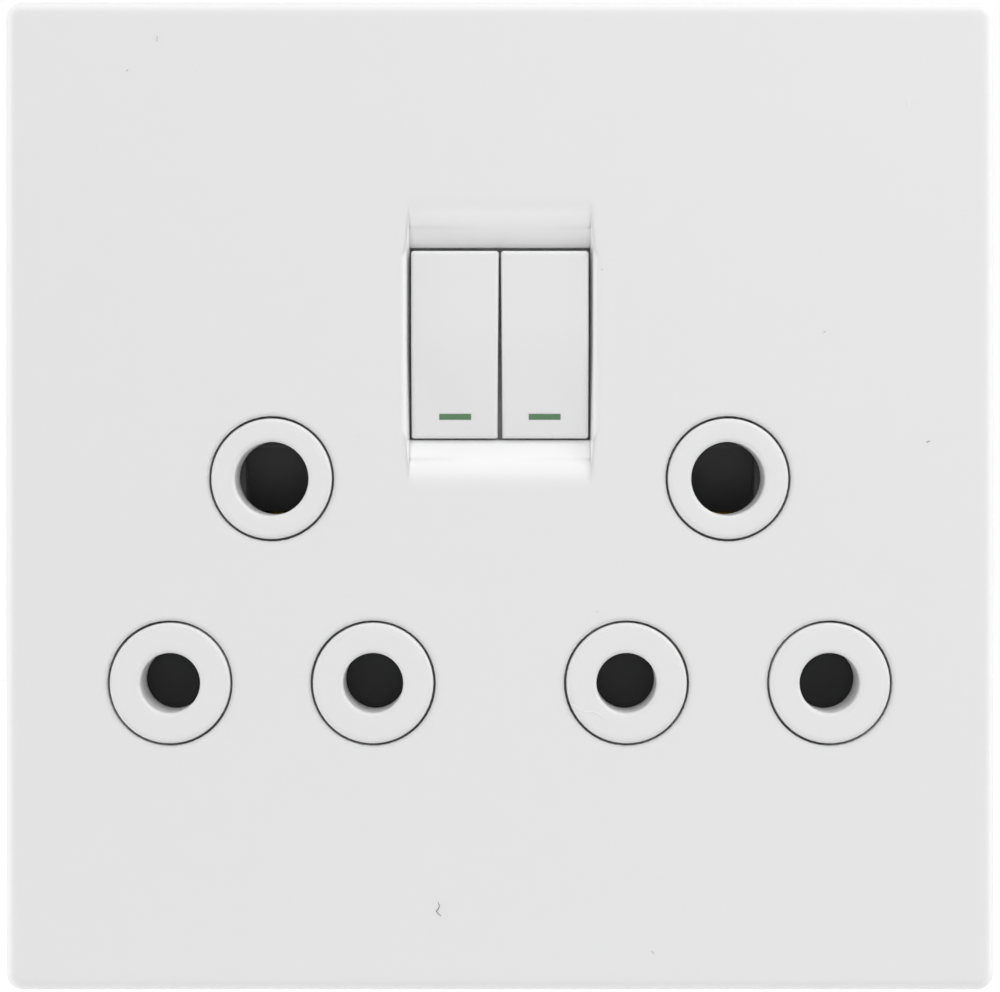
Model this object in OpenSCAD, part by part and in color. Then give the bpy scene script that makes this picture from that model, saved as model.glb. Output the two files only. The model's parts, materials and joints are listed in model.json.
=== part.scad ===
// Double switched wall socket for round three-pin plugs, with a clip-on cover plate.
// Every piece is drawn on the bench, face up: X to the right, Y up the wall, Z out of the wall.
// on_wall() stands each piece against the wall, so that the front looks along -Y and the top is +Z.
// The origin is the middle of the two fixing holes, on the plane of the wall.

/* [Cover plate] */
// Width and height of the square plate
plate_size = 124; // [122:1:130]
// How far the plate's face stands out of the wall
plate_depth = 9; // [9:0.1:10]
// Corner radius of the plate's outline
plate_corner = 2.2; // [1.8:0.1:4]
// Radius that rounds the front edge into the sides
plate_edge = 1.6; // [0.6:0.1:1.7]
// Wall of the moulded plate
plate_wall = 2.4; // [2.2:0.1:2.6]
// Width of the ribs behind the face
rib_w = 1.2; // [0.8:0.1:2]

/* [Switch recess] */
// Depth of the recess at the rockers
recess_depth = 3; // [2.8:0.1:3.1]
// Length of each ramp down to the rockers, below its blend
ramp_run = 3.9; // [3.6:0.1:4.6]
// Radius that rounds the long sides of the recess
recess_side_round = 0.8; // [0.5:0.1:1.1]
// Draft of the long sides, in degrees
recess_draft = 8; // [4:1:12]
// Radius that blends each ramp into the face
ramp_blend = 6.5; // [4:0.5:7]
// Thickness of the lip round the rockers
recess_lip = 1; // [0.8:0.1:1.1]

/* [Pin holes] */
// Distance between the two power pins
pin_pitch = 25.4; // [25:0.1:25.8]
// Height of the earth pin above the power pins
earth_rise = 25.55; // [25:0.05:26]
// Distance between the two sockets
socket_pitch = 57.1; // [56.6:0.1:57.4]
// Height of the power pins, from the middle of the plate
pin_row_y = -23.35; // [-23.6:0.05:-23]
// Diameter of a power pin hole
power_hole_d = 7.54; // [7.4:0.02:7.6]
// Diameter of an earth pin hole
earth_hole_d = 9.24; // [9.1:0.02:9.3]
// Diameter of the raised collar round each hole
collar_d = 15.08; // [13:0.1:15.5]
// Gap between a collar and the plate
collar_gap = 0.31; // [0.2:0.01:0.5]
// How far the collars stand out of the plate
collar_proud = 0.2; // [0.1:0.05:0.4]
// Radius on the rims of the collars
collar_round = 0.4; // [0.2:0.05:0.6]

/* [Rockers] */
// Width of one rocker at its top end
rocker_w = 11; // [10.8:0.1:11.4]
// Height of a rocker
rocker_h = 23.6; // [22:0.1:24]
// Height of the middle of the rockers above the middle of the plate
switch_y = 19.15; // [18.8:0.05:19.5]
// Gap between a rocker and the side of the recess
rocker_gap = 0.27; // [0.2:0.01:0.4]
// Gap between a rocker's end and the ramp
rocker_end_gap = 0.32; // [0.3:0.01:0.4]
// Gap between the two rockers at the top
rocker_split = 0.26; // [0.2:0.01:0.5]
// How much a rocker's inner side draws in towards its lower end
rocker_draw = 0.17; // [0.1:0.01:0.3]
// Whole swing of a rocker, in degrees
rocker_swing = 8; // [6:0.5:8]
// How far the rocker's crest lies below the plate's face
crest_drop = 0.7; // [0.6:0.05:0.9]
// Radius that blends the two halves of a rocker's face
rocker_crown = 40; // [20:1:60]
// Wall of the hollow rocker
rocker_wall = 1.2; // [1:0.05:1.2]
// Radius on the edges of a rocker
rocker_round = 0.5; // [0.2:0.05:0.6]
// Width of the coloured mark
mark_w = 4; // [2:0.1:6]
// Height of the coloured mark
mark_h = 0.75; // [0.5:0.05:1.5]
// Distance of the mark from the rocker's middle
mark_drop = 9.05; // [6:0.05:9.4]

/* [Module] */
// Width of the module behind the plate
body_w = 99; // [98.6:0.2:100]
// Top edge of the module
body_top = 36.5; // [36.3:0.1:37]
// Bottom edge of the module
body_bottom = -35.5; // [-36.5:0.1:-35.3]
// Depth of the module behind the surface of the wall
body_depth = 24; // [23.8:0.2:28]
// Wall of the housings
body_wall = 1.8; // [1.6:0.1:1.9]
// Thickness of the front housing's face
flange_t = 1.8; // [1.7:0.1:1.9]

/* [Mounting frame] */
// Distance between the two fixing holes
fixing_pitch = 83.5; // [83.2:0.1:86]
// Diameter of a fixing hole
fixing_hole_d = 4.2; // [3.8:0.1:4.6]
// Thickness of the frame's sheet
frame_t = 1.5; // [1.3:0.1:1.6]
// Height of the frame's turned-up rim
frame_rim_h = 5; // [4.6:0.1:5.4]
// Gap between the rim and the plate's skirt
frame_gap = 0.6; // [0.4:0.05:0.7]

/* [Metalwork] */
// Thickness of the brass strips
strip_t = 1; // [0.9:0.05:1.1]
// Width of the brass strips
strip_w = 4.5; // [4:0.1:4.6]
// Wall of the sleeves that grip the pins
sleeve_t = 0.8; // [0.6:0.05:0.9]
// Diameter of a terminal's wire hole
wire_hole_d = 4.6; // [4.2:0.1:4.8]
// Width of a terminal block
terminal_w = 9; // [8.4:0.1:9.4]
// Diameter of a terminal screw's thread
terminal_screw_d = 4; // [3.6:0.1:4.2]

/* [Shutters] */
// Travel of a shutter from closed to open
shutter_travel = 9.1; // [9.1:0.1:9.4]
// Thickness of a shutter
shutter_t = 1.9; // [1.7:0.1:2]
// Clearance before and behind a shutter
shutter_gap = 0.3; // [0.2:0.05:0.35]

/* [Hidden] */

$fn = 96;
cut = 1;            // how far a cutting solid runs past the face that it cuts
pivot_gap = 0.06;   // radial clearance of a pivot in its hole
thread_gap = 0.05;  // radial clearance of a screw in its thread
seat_gap = 0.3;     // clearance between mouldings that nest

// Heights above the wall
face_z = plate_depth;
plate_back_z = face_z - plate_wall;
recess_z = face_z - recess_depth;
lip_z = recess_z - recess_lip;
flange_z = lip_z - 0.2;
flange_back_z = flange_z - flange_t;
collar_z = face_z + collar_proud;
shutter_z = flange_back_z - shutter_gap;
deck_z = shutter_z - shutter_t - shutter_gap;
parting_z = -1;
back_z = -body_depth;

// Places across the wall
socket_x = socket_pitch / 2;
pin_x = pin_pitch / 2;
earth_y = pin_row_y + earth_rise;
rocker_x = (rocker_w + rocker_split) / 2;
recess_half_w = rocker_split / 2 + rocker_w + rocker_gap;
recess_half_h = rocker_h / 2 + rocker_end_gap;
foot_cut = 0.02;   // how far the opening and the blends cut into the foot of the recess's walls
bay_half_w = recess_half_w + 0.3;
bay_half_h = recess_half_h + 0.65;
bay_wall = 1.2;
bay_low = deck_z - 1.6;
ledge_w = 1.5;
ledge_rib_w = 1.8;
collar_step = 0.6;
rib_half_w = plate_size / 2 - 10;
rib_half_h = plate_size / 2 - 12.8;
collar_r = collar_d / 2;
power_r = power_hole_d / 2;
earth_r = earth_hole_d / 2;

// The pins that the sleeves grip
power_pin_r = 3.53;
earth_pin_r = 4.355;
power_pin_len = 18.6;
earth_pin_len = 28.6;

// Rocker, measured from its pivot axis
pivot_z = 4.8;
apex_z = face_z - crest_drop - pivot_z;
skirt_z = -0.25;
rest_tilt = rocker_swing / 2;
pivot_r = 1.1;
ledge_z = pivot_z - pivot_r - seat_gap;   // ledge under the rockers' skirts
ear_r = pivot_r + 0.85;
ear_t = 1.4;
post_r = 2.3;
post_bore_r = 1.7;
post_reach = 5.5;
ear_in = post_r + seat_gap;
ear_out = ear_in + ear_t;
plunger_r = post_bore_r - 0.1;
plunger_len = 6.5;
tip_reach = 10.5;
spring_top = 0.8;

// Seesaw contact under the plunger, measured from its fulcrum
seesaw_ratio = 1.6;
seesaw_tilt = rest_tilt * seesaw_ratio;
fulcrum_r = 1.1;
seesaw_top = 1.85;
seesaw_t = 0.9;
seesaw_half = 7.8;
seesaw_w = 4;
contact_y = 6.2;
contact_r = 1.5;
contact_t = 0.8;
fulcrum_z = pivot_z - tip_reach - seesaw_top - 0.15;
fixed_contact_z = fulcrum_z + (seesaw_top - seesaw_t - contact_t) * cos(seesaw_tilt)
  - (contact_y + contact_r) * sin(seesaw_tilt) - 0.05;

// Front faces of the brass strips
link_z = fixed_contact_z - contact_t;
bar_z = link_z - strip_t - 1.9;
earth_bar_z = bar_z - strip_t - 2;
power_sleeve_r = power_pin_r + sleeve_t;
earth_sleeve_r = earth_pin_r + sleeve_t;
power_sleeve_top = deck_z - 1.6;
ramp_low = 4.6;
ramp_high = 5.2;
ramp_slope = 40;
ramp_depth = (ramp_low + ramp_high) * tan(ramp_slope);
earth_sleeve_top = shutter_z - ramp_depth - 0.9;
earth_sleeve_end = collar_z - earth_pin_len - 0.4;

// Terminals: places of the blocks, and the heights of the wire hole and the block
terminal_y = 29.5;
terminal_x = body_w / 2 - 11.5;
terminal_h = 7.6;
wire_r = wire_hole_d / 2;
terminal_front_z = bar_z - 0.4;
wire_z = terminal_front_z - 1.6 - wire_r;
terminal_back_z = wire_z - wire_r - 2.1;
terminal_screw_r = terminal_screw_d / 2;
terminal_screw_len = 4.4;

// Screws that hold the rear housing to the front one
housing_screw_r = 1.35;
housing_head_r = 2.7;
housing_head_t = 1.9;
post_outer_r = 2.6;
post_end_z = -6;
counterbore_z = back_z + 9;
post_inset = body_wall + seat_gap + post_outer_r;
upper_screw_x = 24;
housing_screw_at = [for (x = [-1, 1]) [x * upper_screw_x, body_top - post_inset],
  for (x = [-1, 1]) [x * socket_x, body_bottom + post_inset]];

// Screws that hold the front housing to the mounting frame
frame_size = plate_size - 2 * (plate_wall + frame_gap);
frame_rim_t = 1.2;
frame_screw_r = 1.4;
frame_screw_x = body_w / 2 + 4.2;
frame_screw_y = 25;
lug_t = 2;
snap_x = 30;

floor_z = back_z + 2;
tower_r = housing_screw_r + 0.25 + 1.5;

// Shutter outline
leg_in = earth_pin_r + 0.55;
leg_out = leg_in + 2;
shutter_half_w = pin_x + power_r + 1.2;
shutter_half_h = power_r + 0.75;
spring_r = 0.85;
spring_wire_r = 0.2;
shutter_spring_low = earth_y + ramp_high;
shutter_spring_high = shutter_spring_low + shutter_travel + 6.2;
guide_low = earth_y - 11.4;
guide_high = shutter_spring_high - 7.9;

// Deck behind a shutter
deck_t = 1.2;
deck_low_z = deck_z - deck_t;
deck_half_w = shutter_half_w - 0.1;
deck_upper_half_w = leg_out + 3;
deck_bottom = pin_row_y - shutter_half_h;
deck_top = shutter_spring_high + 1.4;
deck_step = switch_y - bay_half_h - bay_wall - 1.5;

// Draws its children against the wall: the bench's Z becomes the way out of the wall.
module on_wall() rotate([90, 0, 0]) children();

// A rounded rectangle between two corners.
module rounded_rect(low, high, r) {
  size = high - low;
  translate(low) {
    translate([r, 0]) square([size.x - 2 * r, size.y]);
    translate([0, r]) square([size.x, size.y - 2 * r]);
    for (x = [r, size.x - r], y = [r, size.y - r]) translate([x, y]) circle(r);
  }
}

// An extrusion between two heights above the wall.
module layer(low, high) translate([0, 0, low]) linear_extrude(high - low) children();

// A rectangle about the origin.
module slab(half_w, half_h) square([2 * half_w, 2 * half_h], center = true);

// A round bar along X between two places.
module bar_x(r, from, to) translate([from, 0, 0]) rotate([0, 90, 0]) cylinder(r = r, h = to - from);

// A round bar up the wall between two places.
module bar_y(r, from, to) translate([0, to, 0]) rotate([90, 0, 0]) cylinder(r = r, h = to - from);

// A side view, drawn with X up the wall and Y out of it, run from one x to another.
module across(from, to)
  translate([from, 0, 0]) rotate([90, 0, 90]) linear_extrude(to - from) children();

// An end view, drawn with X across the wall and Y out of it, run from one y to another.
module along(from, to)
  translate([0, to, 0]) rotate([90, 0, 0]) linear_extrude(to - from) children();

// Draws its children at the six pin holes, with the radius of each hole in $hole_r.
module at_pins() {
  for (side = [-1, 1]) {
    for (x = [-pin_x, pin_x])
      translate([side * socket_x + x, pin_row_y, 0]) let ($hole_r = power_r) children();
    translate([side * socket_x, earth_y, 0]) let ($hole_r = earth_r) children();
  }
}

// Draws its children at a list of places.
module at_each(places) for (at = places) translate([at.x, at.y, 0]) children();

// The places of the screws that join the module to the frame.
frame_screw_at = [for (x = [-1, 1], y = [-1, 1]) [x * frame_screw_x, y * frame_screw_y]];

// A flat strip that follows a list of places, each straight above or beside the last.
module strip(path, grow = 0) {
  r = strip_w / 2 + grow;
  for (i = [0 : len(path) - 2]) {
    a = path[i];
    b = path[i + 1];
    low = [min(a.x, b.x) - r, min(a.y, b.y) - r];
    translate(low) square([abs(a.x - b.x) + 2 * r, abs(a.y - b.y) + 2 * r]);
  }
}

// A coil spring up the Z axis.
module coil(r, wire_r, height, turns) {
  steps = 18;
  sides = 8;
  n = steps * turns;
  rise = height - 2 * wire_r;
  points = [for (i = [0 : n], k = [0 : sides - 1])
    let (a = 360 * i / steps, b = 360 * k / sides, q = r + wire_r * cos(b))
      [q * cos(a), q * sin(a), wire_r + rise * i / n + wire_r * sin(b)]];
  walls = [for (i = [0 : n - 1], k = [0 : sides - 1])
    let (j = (k + 1) % sides)
      [i * sides + k, (i + 1) * sides + k, (i + 1) * sides + j, i * sides + j]];
  start = [for (k = [0 : sides - 1]) k];
  end = [for (k = [0 : sides - 1]) n * sides + sides - 1 - k];
  polyhedron(points, concat(walls, [start], [end]), convexity = 10);
}

// Block with a rounded outline and a rounded front edge.
module soft_block(size, depth, corner, edge) {
  half = size / 2;
  inner = half - corner;
  layer(0, depth - edge) rounded_rect([-half, -half], [half, half], corner);
  layer(0, depth)
    rounded_rect([edge - half, edge - half], [half - edge, half - edge], corner - edge);
  for (turn = [0 : 90 : 270]) rotate(turn) {
    translate([0, half - edge, depth - edge]) bar_x(edge, -inner, inner);
    translate([inner, inner, 0]) rotate_extrude() {
      square([corner - edge, depth]);
      square([corner, depth - edge]);
      translate([corner - edge, depth - edge]) intersection() {
        circle(edge);
        translate([-(corner - edge), -edge]) square([corner, 2 * edge]);
      }
    }
  }
}

// End view of the space above the recess's floor: drafted long sides, rounded into the face.
module recess_section() {
  lean = recess_depth * tan(recess_draft);
  tangent = recess_side_round * tan(45 - recess_draft / 2);
  shoulder = recess_half_w + lean + tangent;
  start = [recess_half_w + lean - tangent * sin(recess_draft), recess_depth - tangent * cos(recess_draft)];
  top = 2 * recess_half_h;
  difference() {
    polygon([[-recess_half_w, 0], [recess_half_w, 0], start, [shoulder, recess_depth],
      [shoulder, top], [-shoulder, top], [-shoulder, recess_depth], [-start.x, start.y]]);
    for (side = [-1, 1]) translate([side * shoulder, recess_depth - recess_side_round])
      circle(recess_side_round + 0.003);
  }
}

// The section laid along a floor that starts at the switch's middle line or at a ramp's foot.
module recess_space(foot, slope) translate([0, foot, recess_z]) rotate([slope, 0, 0])
  along(-3 * recess_half_h, 3 * recess_half_h) recess_section();

// The blend between each ramp and the plate's face, as a cutting profile.
module ramp_blend_profile(slope) {
  blend = ramp_blend * tan(slope / 2);
  brink = recess_half_h + ramp_run;
  for (side = [0, 1]) mirror([side, 0]) difference() {
    polygon([[brink - blend * cos(slope), face_z - blend * sin(slope)],
      [brink, face_z - 0.6 * blend * sin(slope)], [brink + blend, face_z - 0.1],
      [brink + blend, face_z + cut], [brink - blend * cos(slope), face_z + cut]]);
    translate([brink + blend, face_z - ramp_blend]) circle(ramp_blend + 0.003);
  }
}

// The whole recess as one cutting solid, with the opening for the rockers.
module recess_cut() translate([0, switch_y, 0]) {
  slope = atan2(recess_depth, ramp_run);
  intersection() {
    recess_space(0, 0);
    recess_space(recess_half_h, slope);
    recess_space(-recess_half_h, -slope);
  }
  across(-recess_half_w - foot_cut, recess_half_w + foot_cut) ramp_blend_profile(slope);
  layer(0, recess_z + cut) slab(recess_half_w + foot_cut, recess_half_h + foot_cut);
}

module cover_plate() color("whitesmoke") on_wall() {
  inner = plate_size / 2 - plate_wall;
  nose = frame_gap + 0.7;
  difference() {
    union() {
      difference() {
        soft_block(plate_size, plate_depth, plate_corner, plate_edge);
        layer(-cut, plate_back_z) rounded_rect([-inner, -inner], [inner, inner], 1);
      }
      translate([0, switch_y, 0]) layer(lip_z, plate_back_z + 0.5)
        slab(recess_half_w + 1.4, recess_half_h + 0.65 * ramp_run);
      for (turn = [0 : 90 : 270]) rotate(turn)
        for (x = [-snap_x, snap_x]) translate([x, inner, 0]) across(-4.5, 4.5)
          polygon([[0.5, 1.7], [-nose, 2.4], [-nose, 2.8], [0.5, 3.2]]);
      layer(plate_back_z - 1, plate_back_z + 0.5) difference() {
        slab(rib_half_w, rib_half_h);
        slab(rib_half_w - rib_w, rib_half_h - rib_w);
      }
    }
    recess_cut();
    at_pins() cylinder(r = collar_r + collar_gap, h = face_z + cut);
    translate([-4, -plate_size / 2 - cut, -cut]) cube([8, plate_wall + 2 * cut, 1.1 + cut]);
  }
}

module mounting_frame() color("silver") on_wall() difference() {
  half = frame_size / 2;
  inner = half - frame_rim_t;
  union() {
    layer(0, frame_t) rounded_rect([-half, -half], [half, half], 1.6);
    difference() {
      layer(0, frame_rim_h) rounded_rect([-half, -half], [half, half], 1.6);
      layer(-cut, frame_rim_h + cut) rounded_rect([-inner, -inner], [inner, inner], 0.8);
    }
  }
  layer(-cut, frame_t + cut)
    rounded_rect([-body_w / 2 - seat_gap, body_bottom - seat_gap],
      [body_w / 2 + seat_gap, body_top + seat_gap], 2);
  for (y = [-fixing_pitch / 2, fixing_pitch / 2])
    translate([0, y, -cut]) cylinder(d = fixing_hole_d, h = frame_t + 2 * cut);
  at_each(frame_screw_at)
    translate([0, 0, -cut]) cylinder(r = frame_screw_r + thread_gap, h = frame_t + 2 * cut);
  for (turn = [0 : 90 : 270]) rotate(turn) for (x = [-snap_x, snap_x])
    translate([x - 5, inner - cut, frame_t]) cube([10, frame_rim_t + 2 * cut, 3.6 - frame_t]);
}

// Collar round one pin hole, with rounded rims.
module collar() rotate_extrude() {
  rim = collar_z - collar_round;
  translate([collar_r - 0.1, flange_back_z])
    square([collar_step + 0.1, plate_back_z - 0.2 - flange_back_z]);
  translate([$hole_r + collar_round, flange_back_z])
    square([collar_r - $hole_r - 2 * collar_round, collar_z - flange_back_z]);
  translate([$hole_r, flange_back_z]) square([collar_r - $hole_r, rim - flange_back_z]);
  for (r = [$hole_r + collar_round, collar_r - collar_round]) translate([r, rim]) circle(collar_round);
}

// Pair of sprung ears with pivot holes for one rocker, on beams across the switch bay.
module rocker_ears() for (side = [0, 1]) mirror([side, 0, 0]) difference() {
  reach = bay_half_h + bay_wall / 2;
  union() {
    translate([ear_in, -reach, bay_low]) cube([ear_t, 2 * reach, 1.7]);
    translate([ear_in, -ear_r, bay_low]) cube([ear_t, 2 * ear_r, pivot_z - bay_low]);
    translate([0, 0, pivot_z]) bar_x(ear_r, ear_in, ear_out);
  }
  translate([0, 0, pivot_z]) bar_x(pivot_r + pivot_gap, ear_in - cut, ear_out + cut);
}

module front_housing() color("whitesmoke") on_wall() {
  half = body_w / 2;
  difference() {
    union() {
      layer(flange_back_z, flange_z) rounded_rect([-half, body_bottom], [half, body_top], 2);
      difference() {
        layer(parting_z, flange_z) rounded_rect([-half, body_bottom], [half, body_top], 2);
        layer(parting_z - cut, flange_z + cut)
          rounded_rect([-half + body_wall, body_bottom + body_wall],
            [half - body_wall, body_top - body_wall], 1);
      }
      at_each(housing_screw_at)
        translate([0, 0, post_end_z]) cylinder(r = post_outer_r, h = flange_z - post_end_z);
      for (side = [0, 1]) mirror([side, 0, 0]) for (y = [-frame_screw_y, frame_screw_y])
        layer(frame_t, frame_t + lug_t) translate([half - 1, y - 4]) square([8.4, 8]);
      for (side = [-1, 1]) for (x = [-leg_out - 1.5, leg_out + 0.3])
        layer(deck_z, flange_back_z + 0.1)
          translate([side * socket_x + x, guide_low]) square([1.2, guide_high - guide_low]);
      for (side = [-1, 1])
        layer(deck_z, flange_back_z + 0.1)
          translate([side * socket_x - 4, shutter_spring_high]) square([8, 1.4]);
    }
    at_pins() translate([0, 0, lip_z - 3]) cylinder(r = $hole_r, h = face_z);
    at_each(housing_screw_at) translate([0, 0, post_end_z - cut])
      cylinder(r = housing_screw_r + thread_gap, h = flange_back_z - post_end_z + cut);
    at_each(frame_screw_at) cylinder(r = frame_screw_r + 0.3, h = flange_z);
    translate([0, switch_y, 0]) layer(bay_low - cut, flange_z + cut) slab(bay_half_w, bay_half_h);
  }
  at_pins() collar();
  translate([0, switch_y, 0]) {
    layer(bay_low, flange_back_z + 0.1) difference() {
      slab(bay_half_w + bay_wall, bay_half_h + bay_wall);
      slab(bay_half_w, bay_half_h);
    }
    layer(bay_low, ledge_z) {
      difference() {
        slab(bay_half_w + 0.1, bay_half_h + 0.1);
        slab(bay_half_w - ledge_w, bay_half_h - ledge_w);
      }
      slab(ledge_rib_w / 2, bay_half_h);
    }
    for (side = [-1, 1]) translate([side * rocker_x, 0, 0]) rocker_ears();
  }
}

// Paths of the brass strips.
link_left_path = [[-rocker_x, switch_y + contact_y], [-socket_x + pin_x, switch_y + contact_y],
  [-socket_x + pin_x, pin_row_y]];
link_right_path = [[rocker_x, switch_y + contact_y], [socket_x + pin_x, switch_y + contact_y],
  [socket_x + pin_x, pin_row_y]];
neutral_path = [[socket_x - pin_x, pin_row_y], [-socket_x - pin_x, pin_row_y],
  [-socket_x - pin_x, terminal_y], [-terminal_x, terminal_y]];
earth_path = [[-socket_x, earth_y], [terminal_x, earth_y], [terminal_x, terminal_y]];
line_path = [[0, switch_y], [0, terminal_y]];
fulcrum_path = [[-rocker_x, switch_y], [rocker_x, switch_y]];
terminal_at = [[0, terminal_y], [-terminal_x, terminal_y], [terminal_x, terminal_y]];

// Outline of the module, drawn in by a distance.
module body_outline(inset, r)
  rounded_rect([inset - body_w / 2, body_bottom + inset], [body_w / 2 - inset, body_top - inset], r);

// A square post from the tray's floor up to a height.
module post(at, half, top) layer(floor_z - 0.1, top) translate(at) square(2 * half, center = true);

// Tray behind the module: floor, walls, screw towers, and posts that carry the metalwork.
module rear_housing() color("dimgray") on_wall() difference() {
  union() {
    difference() {
      layer(back_z, parting_z) body_outline(0, 2);
      layer(floor_z, parting_z + cut) body_outline(body_wall, 1);
    }
    intersection() {
      at_each(housing_screw_at) {
        layer(back_z, post_end_z - 0.2) circle(tower_r);
        layer(back_z, counterbore_z + 1.4) circle(housing_head_r + 0.3 + 1.2);
      }
      layer(back_z, parting_z) body_outline(0, 2);
    }
    for (side = [-1, 1]) {
      post([side * socket_x - pin_x, pin_row_y], 3.4, bar_z - strip_t);
      post([side * socket_x, earth_y], 4.2, earth_sleeve_end);
      post([side * socket_x, earth_y - 14.2], 1.5, deck_low_z);
      post([side * socket_x, shutter_spring_high - 2], 1.2, deck_low_z);
      post([side * (rocker_x + 0.8), switch_y + contact_y], 1.2, link_z - strip_t);
      post([side * rocker_x, switch_y], 1.8, bar_z - strip_t);
    }
    post([socket_x + pin_x, pin_row_y], 3.4, link_z - strip_t);
    post([socket_x + pin_x + 1, 10], 1.2, link_z - strip_t);
    post([pin_x - socket_x, pin_row_y + 5], 1.5, link_z - strip_t);
    post([pin_x - socket_x, 10], 1.5, link_z - strip_t);
    at_each(terminal_at) layer(floor_z - 0.1, terminal_back_z) slab(terminal_w / 2, terminal_h / 2 - 0.5);
  }
  at_each(terminal_at) {
    translate([0, 0, back_z - cut])
      cylinder(r = terminal_screw_r + 0.6, h = terminal_back_z - back_z + 2 * cut);
    layer(wire_z - wire_r - 0.3, parting_z + cut)
      translate([-wire_r - 0.3, 0]) square([2 * wire_r + 0.6, body_top - terminal_y + cut]);
  }
  at_each(housing_screw_at) {
    translate([0, 0, back_z]) cylinder(r = housing_screw_r + 0.25, h = -back_z);
    translate([0, 0, back_z - cut]) cylinder(r = housing_head_r + 0.3, h = counterbore_z - back_z + cut);
  }
}

// Deck behind one shutter: it guides the shutter and lets the pins and the ramp through.
module shutter_deck() color("dimgray") on_wall() difference() {
  layer(deck_low_z, deck_z) {
    translate([-deck_half_w, deck_bottom]) square([2 * deck_half_w, deck_step - deck_bottom]);
    translate([-deck_upper_half_w, deck_step - 0.1])
      square([2 * deck_upper_half_w, deck_top - deck_step + 0.1]);
  }
  for (x = [-pin_x, pin_x]) translate([x, pin_row_y, deck_low_z - cut])
    cylinder(r = power_pin_r + 0.9, h = deck_t + 2 * cut);
  layer(deck_low_z - cut, deck_z + cut) translate([-leg_in - 0.3, earth_y - ramp_low - 0.4])
    square([2 * leg_in + 0.6, ramp_low + ramp_high + shutter_travel + 0.8]);
}
module shutter_deck_left() translate([-socket_x, 0, 0]) shutter_deck();
module shutter_deck_right() translate([socket_x, 0, 0]) shutter_deck();

// Side view of the rocker's outside, X up the wall, Y out of it, about the pivot.
module rocker_outline() {
  half = rocker_h / 2;
  slope = rest_tilt;
  end_z = apex_z - half * tan(slope);
  reach = rocker_crown * tan(slope / 2) * 2;
  round_z = apex_z - (half - rocker_round) * tan(slope) - rocker_round / cos(slope);
  difference() {
    polygon([[0, apex_z], [half, end_z], [half, skirt_z], [-half, skirt_z], [-half, end_z]]);
    difference() {
      translate([-rocker_crown * sin(slope), apex_z - rocker_crown * tan(slope) * sin(slope)])
        square([2 * rocker_crown * sin(slope), reach]);
      translate([0, apex_z - rocker_crown / cos(slope)]) circle(rocker_crown);
    }
    for (side = [0, 1]) mirror([side, 0]) difference() {
      polygon([[half - rocker_round, round_z],
        [half - rocker_round + sin(slope) * (rocker_round + cut), round_z + cos(slope) * (rocker_round + cut)],
        [half + cut, round_z + rocker_round + cut], [half + cut, round_z]]);
      translate([half - rocker_round, round_z]) circle(rocker_round);
    }
  }
}

// Cutter that rounds one long edge of the rocker's face.
module edge_round() for (side = [0, 1]) mirror([0, side, 0])
  translate([0, 0, apex_z]) rotate([-rest_tilt, 0, 0])
    along(-0.2, rocker_h / 2 + cut) translate([-rocker_round, -rocker_round]) difference() {
      square(rocker_round + cut);
      circle(rocker_round);
    }

// Rocker with its inner side towards +X, level, about its pivot axis.
module rocker() {
  half_w = rocker_w / 2;
  half_h = rocker_h / 2;
  draw = atan2(rocker_draw, rocker_h);
  end_z = apex_z - half_h * tan(rest_tilt);
  difference() {
    union() {
      difference() {
        intersection() {
          across(-half_w, half_w) rocker_outline();
          layer(skirt_z - cut, apex_z + cut) rounded_rect([-half_w, -half_h], [half_w, half_h], 0.4);
        }
        layer(skirt_z - cut, apex_z + cut)
          polygon([[half_w, half_h], [half_w - rocker_draw, -half_h],
            [half_w - rocker_draw, -half_h - cut], [half_w + cut, -half_h - cut], [half_w + cut, half_h]]);
        translate([half_w - rocker_draw / 2, 0, 0]) rotate([0, 0, -draw]) edge_round();
        translate([-half_w, 0, 0]) mirror([1, 0, 0]) edge_round();
        across(-half_w + rocker_wall, half_w - rocker_wall - rocker_draw)
          polygon([[0, apex_z - rocker_wall], [half_h - rocker_wall, end_z - rocker_wall],
            [half_h - rocker_wall, skirt_z - cut], [-half_h + rocker_wall, skirt_z - cut],
            [-half_h + rocker_wall, end_z - rocker_wall]]);
      }
      layer(-post_reach, apex_z - 0.5) circle(post_r);
      for (side = [0, 1]) mirror([side, 0, 0])
        bar_x(pivot_r, ear_in + 0.3, half_w - 0.5);
    }
    layer(-post_reach - cut, spring_top) circle(post_bore_r);
    mark();
  }
}

// The coloured mark, let into the lower half of a rocker's face.
module mark() translate([0, 0, apex_z]) rotate([rest_tilt, 0, 0])
  translate([-mark_w / 2, -mark_drop - mark_h / 2, -0.4]) cube([mark_w, mark_h, 0.4]);

// Plunger with a round nose, inside the rocker's post.
module plunger() {
  rounded = plunger_r;
  translate([0, 0, rounded - tip_reach]) {
    sphere(rounded);
    cylinder(r = plunger_r, h = plunger_len - rounded);
  }
}

// Turns its children with a rocker to where it rests, lower end pressed in.
module at_rocker(side)
  translate([side * rocker_x, switch_y, pivot_z]) rotate([rest_tilt, 0, 0]) children();

module rocker_left() color("whitesmoke") on_wall() at_rocker(-1) rocker();
module rocker_right() color("whitesmoke") on_wall() at_rocker(1) mirror([1, 0, 0]) rocker();
module mark_left() color("seagreen") on_wall() at_rocker(-1) mark();
module mark_right() color("seagreen") on_wall() at_rocker(1) mark();
module plunger_left() color("dimgray") on_wall() at_rocker(-1) plunger();
module plunger_right() color("dimgray") on_wall() at_rocker(1) plunger();

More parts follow.
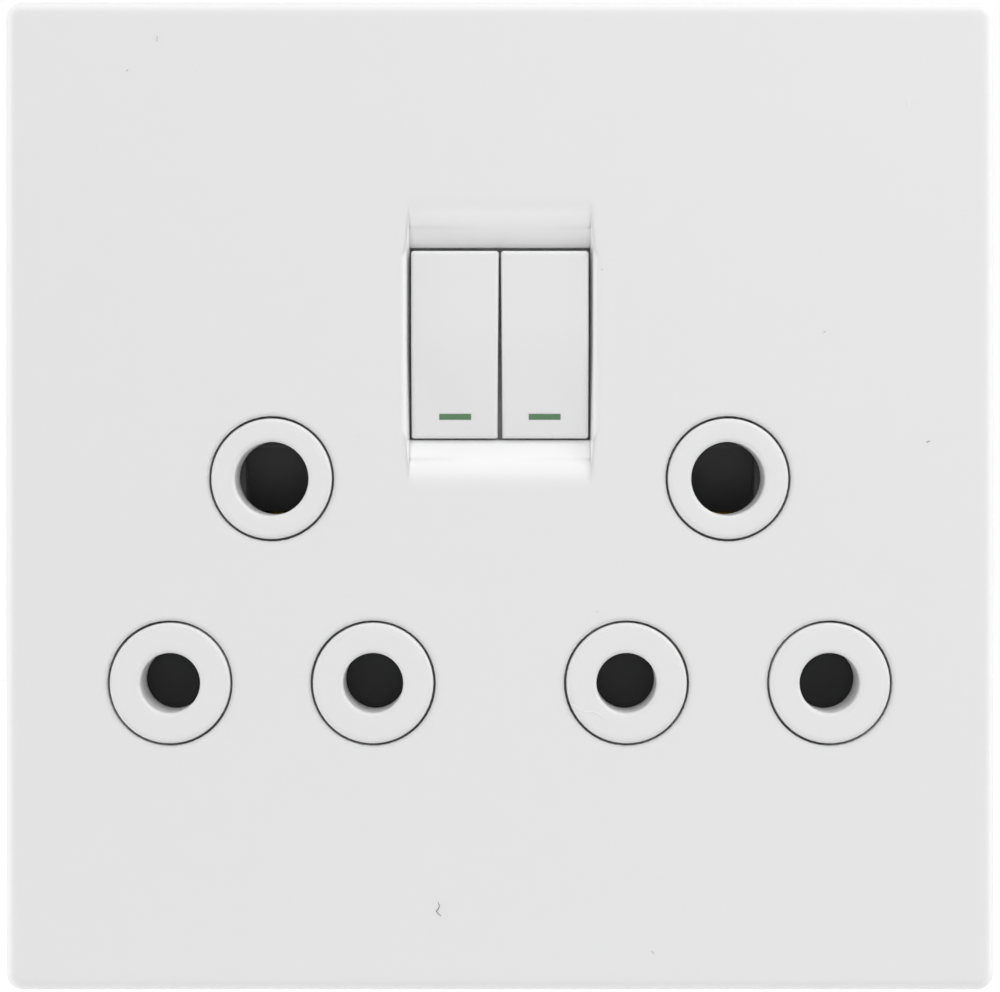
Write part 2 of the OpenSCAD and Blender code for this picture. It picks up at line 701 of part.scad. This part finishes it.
// Spring between a plunger and the closed end of the rocker's post.
module plunger_spring() translate([0, 0, plunger_len - tip_reach + 0.05])
  coil(1.1, spring_wire_r, spring_top - 0.1 - plunger_len + tip_reach, 6);
module plunger_spring_left() color("silver") on_wall() at_rocker(-1) plunger_spring();
module plunger_spring_right() color("silver") on_wall() at_rocker(1) plunger_spring();

// Seesaw contact with a saddle over the fulcrum and a contact disc at its upper end.
module moving_contact() difference() {
  union() {
    across(-seesaw_w / 2, seesaw_w / 2)
      translate([-seesaw_half, seesaw_top - seesaw_t]) square([2 * seesaw_half, seesaw_t]);
    across(-seesaw_w / 2, seesaw_w / 2) translate([-2.1, 0.15]) square([4.2, seesaw_top - 0.3]);
    translate([0, contact_y, seesaw_top - seesaw_t - contact_t])
      cylinder(r = contact_r, h = contact_t + seesaw_t / 2);
  }
  bar_x(fulcrum_r + pivot_gap, -seesaw_w, seesaw_w);
}
module at_seesaw(side)
  translate([side * rocker_x, switch_y, fulcrum_z]) rotate([-seesaw_tilt, 0, 0]) children();
module moving_contact_left() color("goldenrod") on_wall() at_seesaw(-1) moving_contact();
module moving_contact_right() color("goldenrod") on_wall() at_seesaw(1) moving_contact();

// Slotted sleeve that grips a pin, with its root on a strip.
module sleeve(pin_r, top, foot) difference() {
  layer(foot, top) circle(pin_r + sleeve_t);
  layer(foot - cut, top + cut) circle(pin_r);
  translate([-0.4, 0, foot + 2]) cube([0.8, pin_r + 2 * sleeve_t, top - foot]);
}

// Fixed contact at one end of a strip, a sleeve for the line pin at the other.
module line_link(path) {
  last = path[len(path) - 1];
  difference() {
    layer(link_z - strip_t, link_z) {
      strip(path);
      translate(last) circle(power_sleeve_r);
    }
    translate([last.x, last.y, link_z - 2 * strip_t]) cylinder(r = power_pin_r, h = 4 * strip_t);
  }
  translate([path[0].x, path[0].y, link_z - strip_t / 2])
    cylinder(r = contact_r, h = contact_t + strip_t / 2);
  translate(last) sleeve(power_pin_r, power_sleeve_top, link_z - strip_t);
}
module line_link_left() color("goldenrod") on_wall() line_link(link_left_path);
module line_link_right() color("goldenrod") on_wall() line_link(link_right_path);

// Terminal block about its own middle: a wire hole from above and a screw hole from behind.
module terminal_solid() layer(terminal_back_z, terminal_front_z) slab(terminal_w / 2, terminal_h / 2);
module terminal_holes() {
  translate([0, 0, wire_z]) bar_y(wire_r, -terminal_h / 2 + 1.2, terminal_h);
  translate([0, 0, terminal_back_z - cut])
    cylinder(r = terminal_screw_r + thread_gap, h = wire_z - terminal_back_z + cut);
}

module line_bar() color("goldenrod") on_wall() difference() {
  union() {
    layer(bar_z - strip_t, bar_z) {
      strip(line_path);
      strip(fulcrum_path);
    }
    for (side = [-1, 1]) translate([side * rocker_x, switch_y, 0]) {
      layer(bar_z - strip_t / 2, fulcrum_z) slab(1.7, 0.7);
      translate([0, 0, fulcrum_z]) bar_x(fulcrum_r, -1.7, 1.7);
    }
    translate(terminal_at[0]) terminal_solid();
  }
  translate(terminal_at[0]) terminal_holes();
}

// Strip with sleeves at some of its places and a terminal at its end.
module pin_bar(path, top_z, sleeves, pin_r, sleeve_top, foot, terminal) difference() {
  union() {
    layer(top_z - strip_t, top_z) {
      strip(path);
      for (at = sleeves) translate(at) circle(pin_r + sleeve_t);
    }
    for (at = sleeves) translate(at) sleeve(pin_r, sleeve_top, foot);
    translate(terminal) terminal_solid();
  }
  for (at = sleeves) translate([at.x, at.y, top_z - 2 * strip_t]) cylinder(r = pin_r, h = 4 * strip_t);
  translate(terminal) terminal_holes();
}
module neutral_bar() color("goldenrod") on_wall() pin_bar(neutral_path, bar_z,
  [[socket_x - pin_x, pin_row_y], [-socket_x - pin_x, pin_row_y]],
  power_pin_r, power_sleeve_top, bar_z - strip_t, terminal_at[1]);
module earth_bar() color("goldenrod") on_wall() pin_bar(earth_path, earth_bar_z,
  [[-socket_x, earth_y], [socket_x, earth_y]],
  earth_pin_r, earth_sleeve_top, earth_sleeve_end, terminal_at[2]);

// Shutter: a flap over both power holes, two legs and a ramp in the earth hole.
module shutter() {
  low = shutter_z - shutter_t;
  top = earth_y + ramp_high;
  layer(low, shutter_z) {
    translate([0, pin_row_y]) slab(shutter_half_w, shutter_half_h);
    for (side = [0, 1]) mirror([side, 0])
      translate([leg_in, pin_row_y]) square([leg_out - leg_in, top - pin_row_y]);
    translate([-leg_out, top - 1.4]) square([2 * leg_out, 1.4]);
  }
  across(-leg_in, leg_in) polygon([[top, shutter_z], [top, shutter_z - 2],
    [earth_y - ramp_low, shutter_z - ramp_depth], [earth_y - ramp_low - 0.001, shutter_z - ramp_depth]]);
  for (side = [0, 1]) mirror([side, 0, 0]) across(leg_in - 0.9, leg_in + 0.001) polygon([[top, low + 1],
    [top, shutter_z - 2], [earth_y - ramp_low, shutter_z - ramp_depth], [earth_y - ramp_low, low + 1]]);
  translate([0, 0, low + shutter_t / 2]) bar_y(0.5, top - 0.5, top + 3);
}
module shutter_left() color("dimgray") on_wall() translate([-socket_x, 0, 0]) shutter();
module shutter_right() color("dimgray") on_wall() translate([socket_x, 0, 0]) shutter();

// Spring above a shutter.
module shutter_spring() translate([0, shutter_spring_high - 0.02, shutter_z - shutter_t / 2])
  rotate([90, 0, 0]) coil(spring_r, spring_wire_r, shutter_spring_high - shutter_spring_low - 0.04, 13);
module shutter_spring_left() color("silver") on_wall() translate([-socket_x, 0, 0]) shutter_spring();
module shutter_spring_right() color("silver") on_wall() translate([socket_x, 0, 0]) shutter_spring();

// Slotted screw without a head, backed off so that the wire hole is clear.
module terminal_screw() translate([0, 0, wire_z - wire_r - 0.1 - terminal_screw_len]) difference() {
  cylinder(r = terminal_screw_r, h = terminal_screw_len);
  translate([-terminal_screw_r - cut, -0.4, -cut]) cube([2 * terminal_screw_r + 2 * cut, 0.8, 1.2 + cut]);
}
module line_terminal_screw() color("silver") on_wall() translate(terminal_at[0]) terminal_screw();
module neutral_terminal_screw() color("silver") on_wall() translate(terminal_at[1]) terminal_screw();
module earth_terminal_screw() color("silver") on_wall() translate(terminal_at[2]) terminal_screw();

// A cross-head slot, cut from the origin down.
module cross_slot(reach, depth) layer(-depth, cut) {
  slab(reach, 0.45);
  slab(0.45, reach);
}

// The four screws that come in from behind and hold the two housings together.
module housing_screws() color("silver") on_wall() at_each(housing_screw_at) difference() {
  union() {
    translate([0, 0, counterbore_z - housing_head_t]) cylinder(r = housing_head_r, h = housing_head_t);
    layer(counterbore_z - 0.5, flange_back_z - 1) circle(housing_screw_r);
  }
  translate([0, 0, counterbore_z - housing_head_t]) mirror([0, 0, 1]) cross_slot(1.7, 1.1);
}

// The four screws that hold the module to the mounting frame, from the front.
module frame_screws() color("silver") on_wall() at_each(frame_screw_at) {
  head_z = frame_t + lug_t;
  difference() {
    union() {
      layer(head_z, head_z + 1.2) circle(2.3);
      layer(0, head_z + 0.5) circle(frame_screw_r);
    }
    translate([0, 0, head_z + 1.2]) cross_slot(1.4, 0.8);
  }
}

cover_plate();
mounting_frame();
front_housing();
rear_housing();
rocker_left();
rocker_right();
mark_left();
mark_right();
plunger_left();
plunger_right();
plunger_spring_left();
plunger_spring_right();
moving_contact_left();
moving_contact_right();
line_link_left();
line_link_right();
line_bar();
neutral_bar();
earth_bar();
shutter_left();
shutter_right();
shutter_deck_left();
shutter_deck_right();
shutter_spring_left();
shutter_spring_right();
line_terminal_screw();
neutral_terminal_screw();
earth_terminal_screw();
housing_screws();
frame_screws();
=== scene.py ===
import json
from math import pi

import bmesh
import bpy
from mathutils import Matrix, Vector


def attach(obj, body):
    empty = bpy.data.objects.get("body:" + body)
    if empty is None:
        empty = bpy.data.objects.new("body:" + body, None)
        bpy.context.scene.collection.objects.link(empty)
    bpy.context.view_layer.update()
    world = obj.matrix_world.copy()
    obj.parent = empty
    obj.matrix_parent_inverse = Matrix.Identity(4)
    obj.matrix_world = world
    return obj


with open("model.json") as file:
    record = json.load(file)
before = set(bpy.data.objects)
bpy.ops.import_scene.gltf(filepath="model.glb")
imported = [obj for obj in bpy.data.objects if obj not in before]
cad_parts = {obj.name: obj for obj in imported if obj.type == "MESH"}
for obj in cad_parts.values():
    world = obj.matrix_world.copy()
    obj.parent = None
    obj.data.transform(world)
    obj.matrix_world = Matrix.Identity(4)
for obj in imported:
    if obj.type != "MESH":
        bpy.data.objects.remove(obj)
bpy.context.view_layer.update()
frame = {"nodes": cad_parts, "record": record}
nodes = frame["nodes"]

MM = 0.001
PLATE_FRONT = -9.0 * MM        # the plate's face
PLATE_MIDDLE = (499.8, 496.2)  # the middle of the plate in the photograph, in pixels
PIXELS_PER_MM = 8.0            # of the photograph
MERGE_MM = 0.0005              # corners of a mesh that lie closer together are one
THREAD_TIP = 0.6               # a thread's end, as a share of its thickness
PATTERN_RANGE = (0.3, 0.7)     # nearly all of a cloudy pattern lies between these values
PAINTED_LIGHT_MM = 0.3               # over this depth the plastic turns from its face colour to a paler one: painted light that lifts the shade in the recess and the gaps

FLOOR = -0.35                  # the floor, well below the plate on its wall
FLOOR_HALF = 3.0               # from the floor's middle to its edges
FLOOR_GLOW = 0.65              # what the floor adds to its lit colour, so that it looks white
SKY_LIGHT = 0.6                # the even light that the sky throws on the object
CAMERA_RIGHT = 1.9 * MM
CAMERA_UP = 9.3 * MM
CAMERA_DISTANCE = 0.300        # from the plate's face


# Colours and node trees

def linear(hex_colour):
    """An sRGB colour such as "#E8E8E8" as a linear colour with alpha."""
    parts = [int(hex_colour[i:i + 2], 16) / 255 for i in (1, 3, 5)]
    return [c / 12.92 if c <= 0.04045 else ((c + 0.055) / 1.055) ** 2.4 for c in parts] + [1.0]


def add_node(tree, kind, inputs=None, **settings):
    """Adds a shader node. An input that is a socket is linked, any other value is set."""
    made = tree.nodes.new(kind)
    for key, value in settings.items():
        setattr(made, key, value)
    for key, value in (inputs or {}).items():
        socket = made.inputs[key]
        if isinstance(value, bpy.types.NodeSocket):
            tree.links.new(value, socket)
        else:
            socket.default_value = value
    return made


def new_material(name, inputs):
    """A material with a Principled surface. Gives the material, its tree and the surface."""
    made = bpy.data.materials.new(name)
    made.use_nodes = True
    tree = made.node_tree
    tree.nodes.clear()
    surface = add_node(tree, "ShaderNodeBsdfPrincipled", inputs)
    add_node(tree, "ShaderNodeOutputMaterial", {"Surface": surface.outputs[0]})
    return made, tree, surface


def object_axis(tree, axis):
    """The place along one axis of the object, in metres."""
    place = add_node(tree, "ShaderNodeTexCoord")
    return add_node(tree, "ShaderNodeSeparateXYZ", {0: place.outputs["Object"]}).outputs[axis]


def cloudy_pattern(tree, size_mm, detail, roughness, stretch=(1, 1, 1)):
    """A pattern fixed to the object, whose coarsest features measure about size_mm. A stretch below 1
    draws it out along that axis."""
    place = add_node(tree, "ShaderNodeTexCoord")
    scaled = add_node(tree, "ShaderNodeMapping", {"Vector": place.outputs["Object"], "Scale": stretch})
    return add_node(tree, "ShaderNodeTexNoise", {
        "Vector": scaled.outputs[0], "Scale": 1 / (size_mm * MM),
        "Detail": detail, "Roughness": roughness}).outputs[0]


def raise_skin(tree, surface, pattern, height_mm, under=None):
    """Raises the skin by a pattern, height_mm from its lowest to its highest, on top of what is under it."""
    inputs = {"Height": pattern, "Distance": height_mm * MM, "Strength": 1.0}
    if under:
        inputs["Normal"] = under
    raised = add_node(tree, "ShaderNodeBump", inputs).outputs[0]
    tree.links.new(raised, surface.inputs["Normal"])
    return raised


def vary_gloss(tree, surface, pattern, smoothest, roughest):
    """Lets the roughness drift between two values with a pattern."""
    drift = add_node(tree, "ShaderNodeMapRange", {
        "Value": pattern, "From Min": PATTERN_RANGE[0], "From Max": PATTERN_RANGE[1],
        "To Min": smoothest, "To Max": roughest})
    tree.links.new(drift.outputs[0], surface.inputs["Roughness"])


# Finishes

def white_thermoset(name, gloss, soft_rim_mm, face_mm):
    """Moulded urea plastic with a satin skin and soft rims. It is painted whiter behind its face, in the
    recess
    and the gaps: painted light that lifts the shade there. face_mm is the depth where the face ends."""
    made, tree, surface = new_material(name, {"IOR": 1.5})
    # painted light: deeper than the face the colour turns paler, to lift the shade in the recess and the
    # gaps
    painted_light_depth = add_node(tree, "ShaderNodeMapRange", {
        "Value": object_axis(tree, "Y"),
        "From Min": face_mm * MM, "From Max": (face_mm + PAINTED_LIGHT_MM) * MM})
    shade = add_node(tree, "ShaderNodeMix", {
        0: painted_light_depth.outputs[0], "A": linear("#EAEAEA"), "B": linear("#F2F2F2")}, data_type="RGBA")
    tree.links.new(shade.outputs["Result"], surface.inputs["Base Color"])
    rim = add_node(tree, "ShaderNodeBevel", {"Radius": soft_rim_mm * MM}, samples=4)
    grain = cloudy_pattern(tree, size_mm=0.35, detail=2.0, roughness=0.5)
    wave = cloudy_pattern(tree, size_mm=9.0, detail=1.0, roughness=0.4)
    satin = raise_skin(tree, surface, grain, height_mm=0.0012, under=rim.outputs[0])
    raise_skin(tree, surface, wave, height_mm=0.004, under=satin)
    vary_gloss(tree, surface, wave, gloss - 0.03, gloss + 0.03)
    return made


def black_thermoplastic():
    """Black glass-filled nylon: a fine matt grain that breaks its highlights up."""
    made, tree, surface = new_material("black_plastic", {"Base Color": linear("#2C2C2D"), "IOR": 1.5})
    grain = cloudy_pattern(tree, size_mm=0.25, detail=3.0, roughness=0.6)
    flow = cloudy_pattern(tree, size_mm=6.0, detail=3.0, roughness=0.5, stretch=(1, 1, 3))
    raise_skin(tree, surface, grain, height_mm=0.006)
    vary_gloss(tree, surface, flow, 0.44, 0.56)
    return made


def shutter_plastic():
    """Black nylon of the shutters: matt, and painted paler down the ramp: painted light that lifts the shade
    deep in the holes.
    """
    ramp_end = -8.0 * MM
    ramp_painted_light_full = -3.0 * MM
    ramp_painted_light_none = 7.5 * MM
    made, tree, surface = new_material("shutter_plastic", {"Roughness": 0.75, "IOR": 1.4})
    height = object_axis(tree, "Z")
    # painted light: the ramp turns paler towards its low end, to lift the shade deep in the holes
    ramp_painted_light_fade = add_node(tree, "ShaderNodeMapRange", {
        "Value": height, "From Min": ramp_painted_light_full, "From Max": ramp_painted_light_none, "To Min": 1.0, "To Max": 0.0})
    on_ramp = add_node(tree, "ShaderNodeMath", {0: height, 1: ramp_end}, operation="GREATER_THAN")
    ramp_painted_light = add_node(tree, "ShaderNodeMath", {
        0: ramp_painted_light_fade.outputs[0], 1: on_ramp.outputs[0]}, operation="MULTIPLY")
    shade = add_node(tree, "ShaderNodeMix", {
        0: ramp_painted_light.outputs[0], "A": linear("#29292A"), "B": linear("#7A7A7B")}, data_type="RGBA")
    tree.links.new(shade.outputs["Result"], surface.inputs["Base Color"])
    grain = cloudy_pattern(tree, size_mm=0.25, detail=3.0, roughness=0.6)
    raise_skin(tree, surface, grain, height_mm=0.006)
    return made


def green_thermoset():
    """Dull green plastic let into the rocker: flat and even."""
    made, tree, surface = new_material("green_mark", {
        "Base Color": linear("#537B55"), "Roughness": 0.5, "IOR": 1.5})
    grain = cloudy_pattern(tree, size_mm=0.2, detail=2.0, roughness=0.5)
    raise_skin(tree, surface, grain, height_mm=0.003)
    return made


def zinc_plated_steel():
    """Zinc on rolled steel: pale grey, with the drawn-out lines of the rolling and cloudy gloss."""
    made, tree, surface = new_material("zinc_steel", {"Base Color": linear("#B9BDC1"), "Metallic": 1.0})
    rolled = cloudy_pattern(tree, size_mm=0.5, detail=3.0, roughness=0.6, stretch=(0.06, 1, 1))
    cloud = cloudy_pattern(tree, size_mm=7.0, detail=4.0, roughness=0.6)
    raise_skin(tree, surface, rolled, height_mm=0.002)
    vary_gloss(tree, surface, cloud, 0.26, 0.44)
    return made


def spring_wire():
    """Drawn steel wire: darker than the plated sheet, with a brighter gloss."""
    made, tree, surface = new_material("spring_steel", {
        "Base Color": linear("#A3A5A8"), "Metallic": 1.0, "Roughness": 0.28})
    drawn = cloudy_pattern(tree, size_mm=0.3, detail=2.0, roughness=0.5)
    raise_skin(tree, surface, drawn, height_mm=0.001)
    return made


def stamped_brass():
    """Stamped brass, browned by age: brushed by the press, with dull patches."""
    made, tree, surface = new_material("brass", {"Base Color": linear("#9C7A40"), "Metallic": 1.0})
    brushed = cloudy_pattern(tree, size_mm=0.4, detail=3.0, roughness=0.6, stretch=(1, 1, 0.08))
    patches = cloudy_pattern(tree, size_mm=4.0, detail=3.0, roughness=0.6)
    raise_skin(tree, surface, brushed, height_mm=0.002)
    vary_gloss(tree, surface, patches, 0.4, 0.6)
    return made


FINISHES = {
    "white_plastic": white_thermoset("white_plastic", gloss=0.36, soft_rim_mm=1.0, face_mm=-8.98),
    "rocker_plastic": white_thermoset("rocker_plastic", gloss=0.32, soft_rim_mm=0.35, face_mm=-6.5),
    "black_plastic": black_thermoplastic(),
    "shutter_plastic": shutter_plastic(),
    "green_mark": green_thermoset(),
    "zinc_steel": zinc_plated_steel(),
    "spring_steel": spring_wire(),
    "brass": stamped_brass(),
}
for part in frame["record"]["subparts"]:
    finish = part["material_slot"]
    if part["node"].startswith("rocker_"):
        finish = "rocker_plastic"
    if part["node"] in ("shutter_left", "shutter_right"):
        finish = "shutter_plastic"
    mesh = nodes[part["node"]].data
    mesh.materials.clear()
    mesh.materials.append(FINISHES[finish])


# Meshes of the scene's own pieces

def mesh_piece(name, bm, material):
    """Turns a bmesh into an object at the origin, faces outwards."""
    bmesh.ops.remove_doubles(bm, verts=bm.verts, dist=MERGE_MM * MM)
    bmesh.ops.recalc_face_normals(bm, faces=bm.faces)
    mesh = bpy.data.meshes.new(name)
    bm.to_mesh(mesh)
    bm.free()
    mesh.materials.append(material)
    made = bpy.data.objects.new(name, mesh)
    bpy.context.scene.collection.objects.link(made)
    return made


# Dust on the front

# Each thread or speck: its course in pixels of the photograph, its thickness, and how far its middle
# stands off the plate's face, both in millimetres.
DARK_DUST = {
    "curled fibre below": (
        [(438, 901.6), (439.6, 905.6), (438.6, 908.4), (436.2, 910.8), (439, 914), (441.2, 915.8)],
        0.10, 0.04),
    "speck at the top left": ([(157.2, 35.5), (157, 41)], 0.08, 0.03),
    "speck lower left of it": ([(126.2, 71.3), (128.2, 69.2)], 0.09, 0.03),
    "speck at the right, above": ([(823.4, 332.4), (826, 331)], 0.09, 0.03),
    "crumb at the right": ([(926.6, 442), (929.6, 440.6)], 0.16, 0.05),
    "speck at the lower edge": ([(651.4, 950.6), (654, 953.4)], 0.08, 0.03),
    "speck beside the switch": ([(601.4, 269), (602.6, 269.4)], 0.1, 0.03),
    "speck between the collars": ([(596.6, 611), (597.8, 611.4)], 0.1, 0.03),
    "speck at the left": ([(95.4, 146.6), (97, 147.6)], 0.05, 0.02),
}
LIGHT_DUST = {
    "fibre at the top right": ([(908, 99.6), (909.4, 103), (908.8, 107.6)], 0.09, 0.04),
    "crumb near the right edge": ([(962.6, 215), (963.8, 215.6)], 0.13, 0.05),
    "crumb below it": ([(939.6, 426.4), (940.6, 427.4)], 0.12, 0.05),
    "fibre left of the switch": ([(355, 438), (359, 434.4), (363, 431)], 0.04, 0.02),
    "hair on a collar": (
        [(570, 701.6), (576, 706), (584, 711.6), (594, 711.6), (600, 714.4), (606, 720), (609.6, 720.6)],
        0.07, 0.23),
}


def in_photo(x, y):
    """A place on the plate, to the right and up, from its place in the photograph."""
    return Vector(((x - PLATE_MIDDLE[0]) / PIXELS_PER_MM * MM, (PLATE_MIDDLE[1] - y) / PIXELS_PER_MM * MM))


def add_thread(bm, course, thick_mm, depth):
    """A thin thread that lies along a course of places at one depth, with tapered ends."""
    places = [in_photo(x, y) for x, y in course]
    step = places[1] - places[0]
    heading = Vector((step.x, 0, step.y)).normalized()
    turn = heading.to_track_quat("Z", "Y").to_matrix().to_4x4()
    turn.translation = Vector((places[0].x, depth, places[0].y))
    start = bmesh.ops.create_circle(
        bm, cap_ends=True, segments=8, radius=thick_mm / 2 * MM, matrix=turn)["verts"]
    face = start[0].link_faces[0]
    for i in range(1, len(places)):
        grown = bmesh.ops.extrude_face_region(bm, geom=[face])["geom"]
        ring = [g for g in grown if isinstance(g, bmesh.types.BMVert)]
        face = [g for g in grown if isinstance(g, bmesh.types.BMFace)][0]
        step = places[i] - places[i - 1]
        bmesh.ops.translate(bm, verts=ring, vec=(step.x, 0, step.y))
        centre = Vector((places[i].x, depth, places[i].y))
        ahead = places[min(i + 1, len(places) - 1)] - places[i - 1]
        facing = Vector((ahead.x, 0, ahead.y)).normalized()
        bend = heading.rotation_difference(facing).to_matrix()
        bmesh.ops.rotate(bm, verts=ring, cent=centre, matrix=bend)
        heading = facing
    for tip in (start, ring):
        middle = sum((v.co for v in tip), Vector()) / len(tip)
        bmesh.ops.scale(bm, verts=tip, vec=(THREAD_TIP,) * 3, space=Matrix.Translation(-middle))


def dust(name, hex_colour, threads):
    """Fluff and specks that lie on the front: matt, in one colour."""
    bm = bmesh.new()
    for course, thick_mm, off_mm in threads.values():
        add_thread(bm, course, thick_mm, PLATE_FRONT - off_mm * MM)
    fluff = new_material(name, {"Base Color": linear(hex_colour), "Roughness": 0.8, "IOR": 1.45})[0]
    piece = mesh_piece(name, bm, fluff)
    for face in piece.data.polygons:
        face.use_smooth = True
    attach(piece, "housing")


dust("dark_dust", "#9A9A98", DARK_DUST)
dust("light_dust", "#FAFAFA", LIGHT_DUST)


# Floor, light and camera

def seen_directly(tree):
    """1 where the camera, a reflection or a clear material looks, otherwise 0."""
    path = add_node(tree, "ShaderNodeLightPath")
    either = add_node(tree, "ShaderNodeMath", {
        0: path.outputs["Is Camera Ray"], 1: path.outputs["Is Glossy Ray"]}, operation="MAXIMUM")
    return add_node(tree, "ShaderNodeMath", {
        0: either.outputs[0], 1: path.outputs["Is Transmission Ray"]}, operation="MAXIMUM").outputs[0]


def floor():
    """A pale floor below the wall, white to the camera, which keeps the shadow and throws light up."""
    made, tree, surface = new_material("floor", {
        "Base Color": linear("#EFEFEF"), "Roughness": 0.8, "IOR": 1.45, "Emission Color": (1, 1, 1, 1)})
    glow = add_node(tree, "ShaderNodeMath", {0: seen_directly(tree), 1: FLOOR_GLOW}, operation="MULTIPLY")
    tree.links.new(glow.outputs[0], surface.inputs["Emission Strength"])
    bm = bmesh.new()
    bmesh.ops.create_grid(
        bm, x_segments=1, y_segments=1, size=FLOOR_HALF, matrix=Matrix.Translation((0, 0, FLOOR)))
    mesh_piece("floor", bm, made)


def sky():
    """White to the camera and to glossy rays, and a soft even light on the object."""
    world = bpy.data.worlds.new("studio")
    bpy.context.scene.world = world
    world.use_nodes = True
    tree = world.node_tree
    tree.nodes.clear()
    soft = add_node(tree, "ShaderNodeBackground", {"Color": (1, 1, 1, 1), "Strength": SKY_LIGHT})
    white = add_node(tree, "ShaderNodeBackground", {"Color": (1, 1, 1, 1), "Strength": 1.0})
    mixed = add_node(tree, "ShaderNodeMixShader", {
        0: seen_directly(tree), 1: soft.outputs[0], 2: white.outputs[0]})
    add_node(tree, "ShaderNodeOutputWorld", {"Surface": mixed.outputs[0]})


def softbox(name, place, width, height, power, aim=(0, 0, 0)):
    """A rectangular lamp that looks at a point: metres and watts."""
    lamp = bpy.data.lights.new(name, "AREA")
    lamp.shape = "RECTANGLE"
    lamp.size = width
    lamp.size_y = height
    lamp.energy = power
    made = bpy.data.objects.new(name, lamp)
    made.location = place
    made.rotation_euler = (Vector(aim) - Vector(place)).to_track_quat("-Z", "Y").to_euler()
    bpy.context.scene.collection.objects.link(made)


def camera():
    """Square to the plate, a little right of and above its middle, as in the photograph."""
    lens = bpy.data.cameras.new("camera")
    lens.sensor_width = 36.0
    lens.lens = 86.4
    lens.shift_x = -0.015
    lens.shift_y = -0.074
    lens.clip_start = 0.01
    made = bpy.data.objects.new("camera", lens)
    made.location = (CAMERA_RIGHT, PLATE_FRONT - CAMERA_DISTANCE, CAMERA_UP)
    made.rotation_euler = (pi / 2, 0, 0)
    bpy.context.scene.collection.objects.link(made)
    bpy.context.scene.camera = made


floor()
sky()
softbox("lamp_above", (0.0, -0.22, 0.95), width=1.2, height=0.35, power=1.3)
softbox("lamp_front_top", (0.0, -0.6, 0.8), width=0.9, height=0.6, power=1.8)
softbox("lamp_low", (0.0, -0.4, -0.3), width=0.9, height=0.3, power=0.3)
softbox("lamp_right_top", (0.3, -0.2, 0.3), width=0.2, height=0.2, power=0.38, aim=(0.03, 0, 0.03))
softbox("lamp_left", (-0.9, -0.1, 0.0), width=0.25, height=0.9, power=2.6)
softbox("lamp_right", (0.9, -0.1, 0.0), width=0.25, height=0.9, power=1.7)
camera()
bpy.context.scene.view_settings.view_transform = "Standard"
